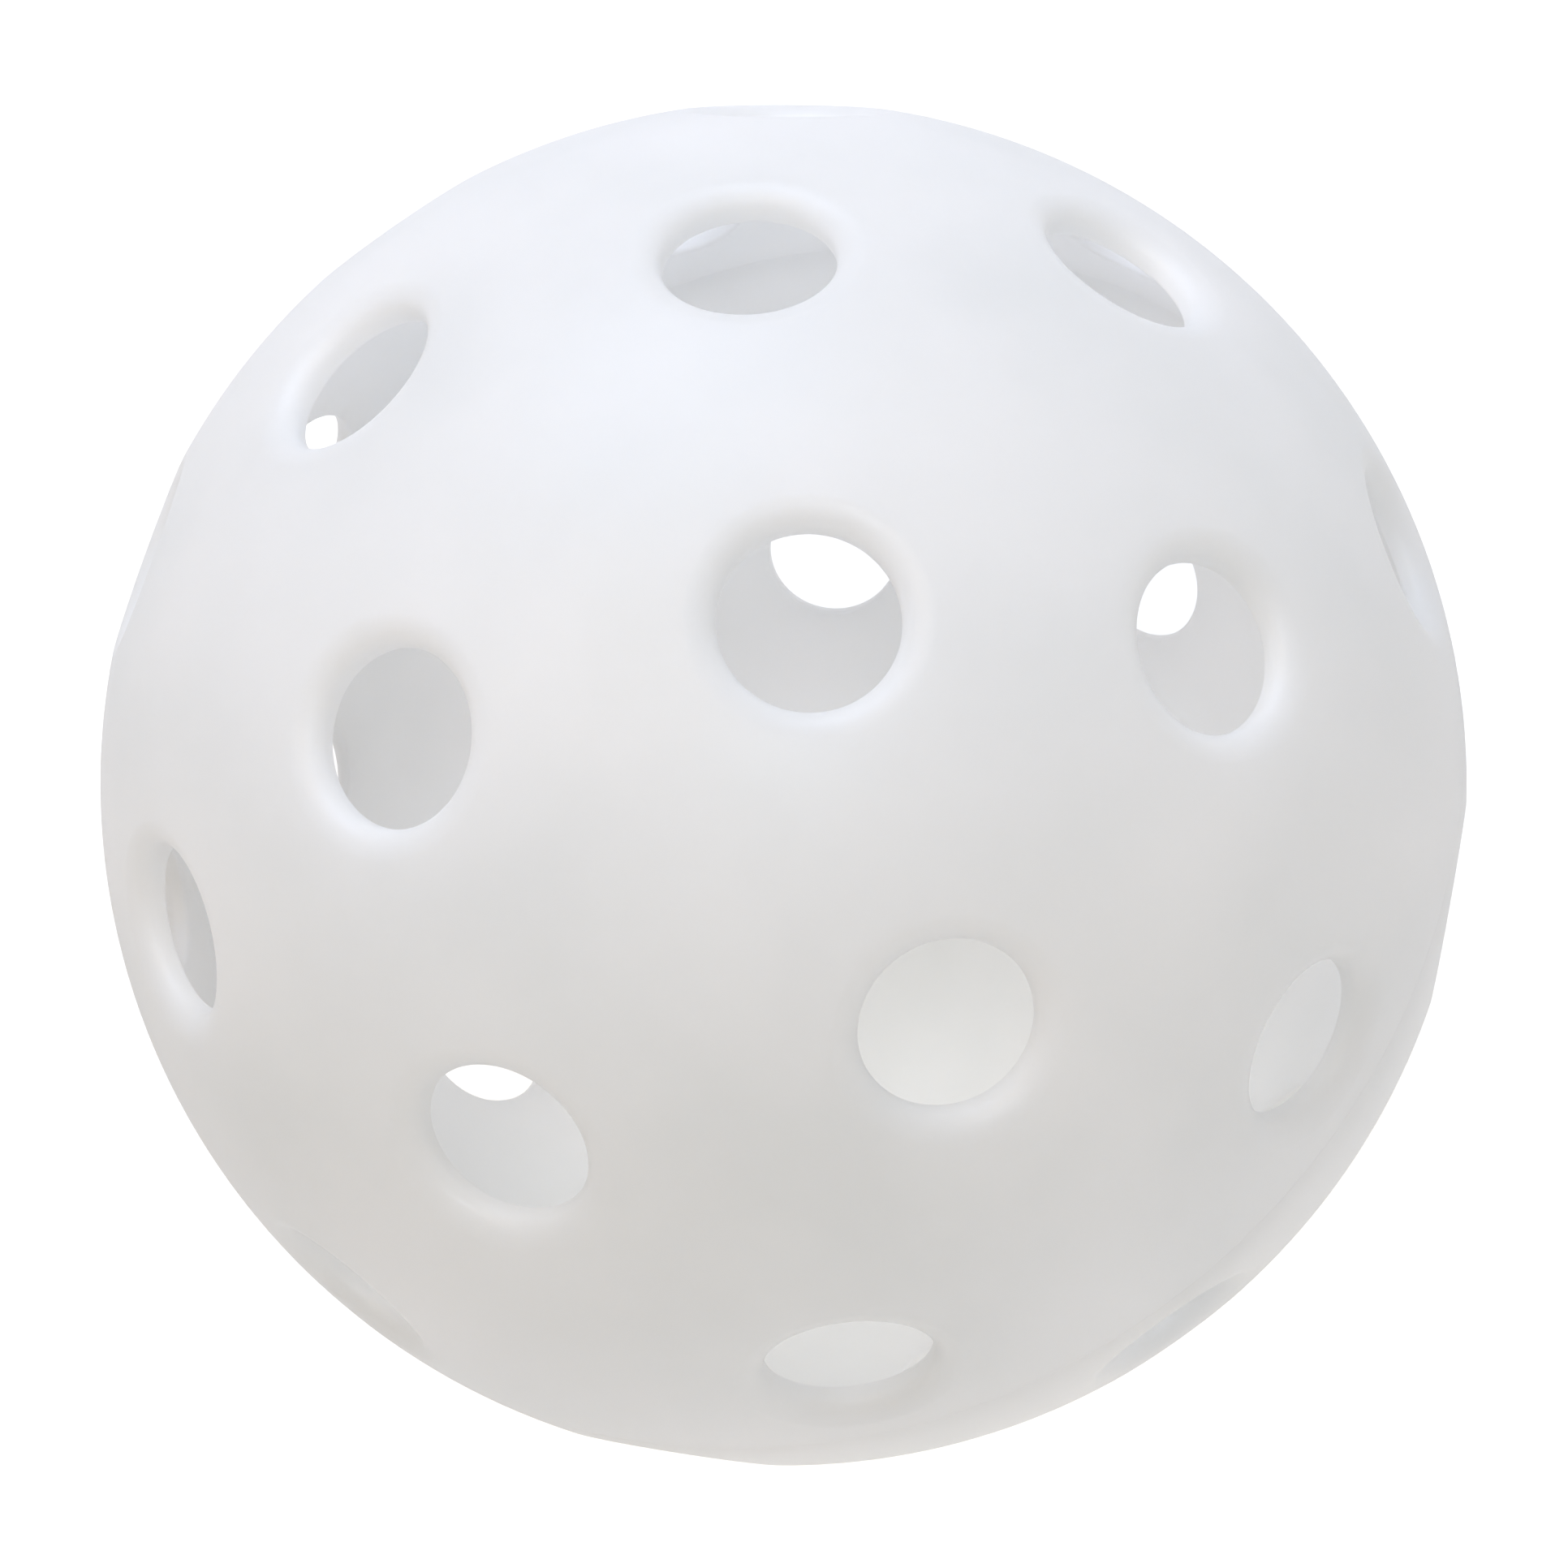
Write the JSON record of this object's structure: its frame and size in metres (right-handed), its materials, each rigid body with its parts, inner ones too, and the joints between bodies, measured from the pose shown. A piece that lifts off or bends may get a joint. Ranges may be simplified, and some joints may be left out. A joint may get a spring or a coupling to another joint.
{
  "type": "pickleball",
  "caption": "Hollow white plastic pickleball of welded half shells, with rings of round air holes whose outer rims are rounded.",
  "frame": {"origin": "centre of the ball", "axes": "+Z is the mould axis and runs out through the pole of the upper half, +X lies in the seam's plane below the first hole of the ring nearest that pole"},
  "size_m": [0.074, 0.074, 0.074],
  "materials": {
    "ball_plastic": "satin",
    "weld_plastic": "satin"
  },
  "bodies": {
    "root": {"upper_half_shell": "ball_plastic", "lower_half_shell": "ball_plastic", "weld_bead": "weld_plastic"}
  },
  "joints": []
}
